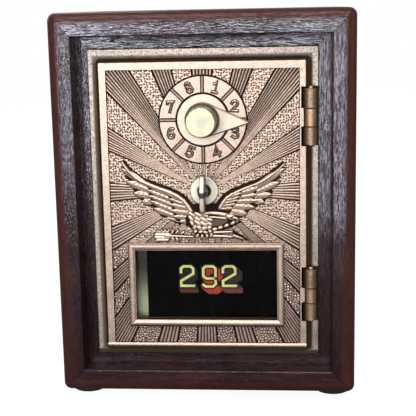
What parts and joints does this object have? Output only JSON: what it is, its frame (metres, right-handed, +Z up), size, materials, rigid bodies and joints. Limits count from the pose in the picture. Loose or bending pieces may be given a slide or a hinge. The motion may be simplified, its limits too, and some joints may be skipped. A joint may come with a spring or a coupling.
{
  "type": "post office box door in a tabletop case",
  "caption": "Cast brass post office box door with combination dial, thumb latch, number window and hinges, hung in a mitred dark wood tabletop case on round feet.",
  "frame": {"origin": "on the surface the feet stand on, under the middle of the bounding box", "axes": "+Z up, front (door) faces -Y, +X to the right seen from the front (hinge side)"},
  "size_m": [0.1216, 0.1148, 0.1596],
  "materials": {
    "dark_hardwood": "glossy dark mahogany lacquer",
    "back_panel_board": "satin brown board",
    "foot_rubber": "matte black rubber",
    "plated_steel": "zinc plated",
    "cast_brass": "antiqued cast brass with dark recesses and rubbed high spots",
    "pin_brass": "worn satin brass",
    "polished_brass": "polished brass",
    "wheel_brass": "machined brass",
    "lock_case_brass": "plain stamped brass",
    "bolt_brass": "plain milled brass",
    "clear_glass": "clear flat glass",
    "black_number_plate": "gloss black with gold numerals"
  },
  "bodies": {
    "case": {"case_top_board": "dark_hardwood", "case_bottom_board": "dark_hardwood", "case_left_board": "dark_hardwood", "case_right_board": "dark_hardwood", "back_panel": "back_panel_board", "back_panel_screws": "plated_steel", "foot_front_left": "foot_rubber", "foot_front_right": "foot_rubber", "foot_back_left": "foot_rubber", "foot_back_right": "foot_rubber", "foot_screws": "plated_steel", "door_frame": "cast_brass", "frame_screws": "pin_brass", "hinge_pin_upper": "pin_brass", "hinge_pin_lower": "pin_brass"},
    "door": {"door_casting": "cast_brass", "window_glass": "clear_glass", "number_plate": "black_number_plate", "glass_retainer": "lock_case_brass", "retainer_screws": "pin_brass", "lock_case": "lock_case_brass", "lock_case_screws": "pin_brass", "bolt_guide": "lock_case_brass", "bolt_guide_screws": "pin_brass", "latch_escutcheon": "polished_brass", "wheel_spacer_front": "wheel_brass", "wheel_spacer_back": "wheel_brass"},
    "dial": {"dial_pointer": "polished_brass", "dial_knob": "polished_brass", "dial_spindle": "plated_steel", "drive_wheel": "wheel_brass", "dial_spindle_clip": "plated_steel"},
    "middle_wheel": {"middle_wheel": "wheel_brass"},
    "back_wheel": {"back_wheel": "wheel_brass"},
    "latch": {"latch_handle": "polished_brass", "latch_spindle": "plated_steel", "latch_cam": "wheel_brass", "latch_drive_pin": "plated_steel", "latch_spindle_clip": "plated_steel"},
    "bolt": {"latch_bolt": "bolt_brass"}
  },
  "joints": [
    {"name": "door_hinge", "type": "hinge", "parent": "case", "child": "door", "pos_m": [0.043, -0.0446, 0.08155], "axis": [0, 0, 1], "range_deg": [0, 120]},
    {"name": "dial_turn", "type": "hinge", "parent": "door", "child": "dial", "pos_m": [0, -0.0434, 0.11655], "axis": [0, 1, 0], "continuous": true},
    {"name": "middle_wheel_turn", "type": "hinge", "parent": "door", "child": "middle_wheel", "pos_m": [0, -0.0434, 0.11655], "axis": [0, 1, 0], "continuous": true},
    {"name": "back_wheel_turn", "type": "hinge", "parent": "door", "child": "back_wheel", "pos_m": [0, -0.0434, 0.11655], "axis": [0, 1, 0], "continuous": true},
    {"name": "latch_turn", "type": "hinge", "parent": "door", "child": "latch", "pos_m": [0, -0.0434, 0.08775], "axis": [0, 1, 0], "range_deg": [0, 54.07]},
    {"name": "bolt_slide", "type": "slide", "parent": "door", "child": "bolt", "axis": [-1, 0, 0], "range_m": [0, 0.00501]}
  ],
  "couplings": [
    {"joint": "middle_wheel_turn", "follows": "dial_turn", "ratio": 1},
    {"joint": "back_wheel_turn", "follows": "dial_turn", "ratio": 1},
    {"joint": "bolt_slide", "follows": "latch_turn", "m_per_rad": 0.005298}
  ]
}
